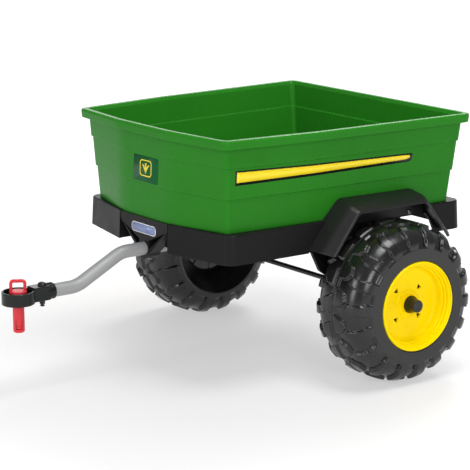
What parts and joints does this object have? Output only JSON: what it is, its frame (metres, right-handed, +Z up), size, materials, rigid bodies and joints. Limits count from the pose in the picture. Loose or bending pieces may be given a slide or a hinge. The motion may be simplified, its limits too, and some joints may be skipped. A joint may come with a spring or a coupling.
{
  "type": "ride-on tractor trailer",
  "caption": "Two-wheeled toy dump trailer with a tapered stepped tub, black chassis tray, fenders, cranked drawbar, ring coupler and lift-out hitch pin.",
  "frame": {"origin": "on the floor below the middle of the whole trailer's box", "axes": "+X forward to the hitch, +Y to the trailer's left, +Z up"},
  "size_m": [0.8824, 0.766, 0.474],
  "materials": {
    "tub_green": "satin injection-moulded polyethylene",
    "chassis_black": "satin black moulded plastic with fine grain",
    "tyre_black": "semi-gloss blow-moulded plastic",
    "hub_yellow": "glossy moulded plastic",
    "cap_black": "glossy moulded plastic",
    "drawbar_grey": "light grey powder coat",
    "coupler_black": "glossy moulded plastic",
    "pin_red": "satin moulded plastic",
    "dark_steel": "black oxide steel",
    "zinc_steel": "zinc plated",
    "bush_white": "natural nylon"
  },
  "bodies": {
    "trailer_frame": {"tub": "tub_green", "chassis_tray": "chassis_black", "drawbar_nose": "chassis_black", "drawbar_saddle": "chassis_black", "fender_left": "chassis_black", "fender_right": "chassis_black", "axle_bracket_left": "chassis_black", "axle_bracket_right": "chassis_black", "axle_spacer_left": "chassis_black", "axle_spacer_right": "chassis_black", "drawbar_tube": "drawbar_grey", "hitch_coupler": "coupler_black", "axle": "dark_steel", "coupler_bolt": "dark_steel", "coupler_washer": "dark_steel", "coupler_nut": "dark_steel", "coupler_bolt_clip": "dark_steel", "nose_screw": "zinc_steel", "saddle_screw_left": "zinc_steel", "saddle_screw_right": "zinc_steel", "tub_screw_1": "zinc_steel", "tub_screw_2": "zinc_steel", "tub_screw_3": "zinc_steel", "tub_screw_4": "zinc_steel", "fender_screw_left_1": "zinc_steel", "fender_screw_left_2": "zinc_steel", "fender_screw_right_1": "zinc_steel", "fender_screw_right_2": "zinc_steel", "bracket_screw_left_1": "zinc_steel", "bracket_screw_left_2": "zinc_steel", "bracket_screw_right_1": "zinc_steel", "bracket_screw_right_2": "zinc_steel", "axle_washer_left": "zinc_steel", "axle_washer_right": "zinc_steel", "axle_retainer_left": "zinc_steel", "axle_retainer_right": "zinc_steel"},
    "left_wheel": {"tyre_left": "tyre_black", "hub_left": "hub_yellow", "hub_cap_left": "cap_black", "inner_bush_left": "bush_white", "outer_bush_left": "bush_white"},
    "right_wheel": {"tyre_right": "tyre_black", "hub_right": "hub_yellow", "hub_cap_right": "cap_black", "inner_bush_right": "bush_white", "outer_bush_right": "bush_white"},
    "pin": {"hitch_pin": "pin_red"}
  },
  "joints": [
    {"name": "left_wheel_spin", "type": "hinge", "parent": "trailer_frame", "child": "left_wheel", "pos_m": [-0.21275, 0.307, 0.15], "axis": [0, 1, 0], "continuous": true},
    {"name": "right_wheel_spin", "type": "hinge", "parent": "trailer_frame", "child": "right_wheel", "pos_m": [-0.21275, -0.307, 0.15], "axis": [0, 1, 0], "continuous": true},
    {"name": "hitch_pin_lift", "type": "slide", "parent": "trailer_frame", "child": "pin", "axis": [0, 0, 1], "range_m": [0, 0.075]}
  ]
}
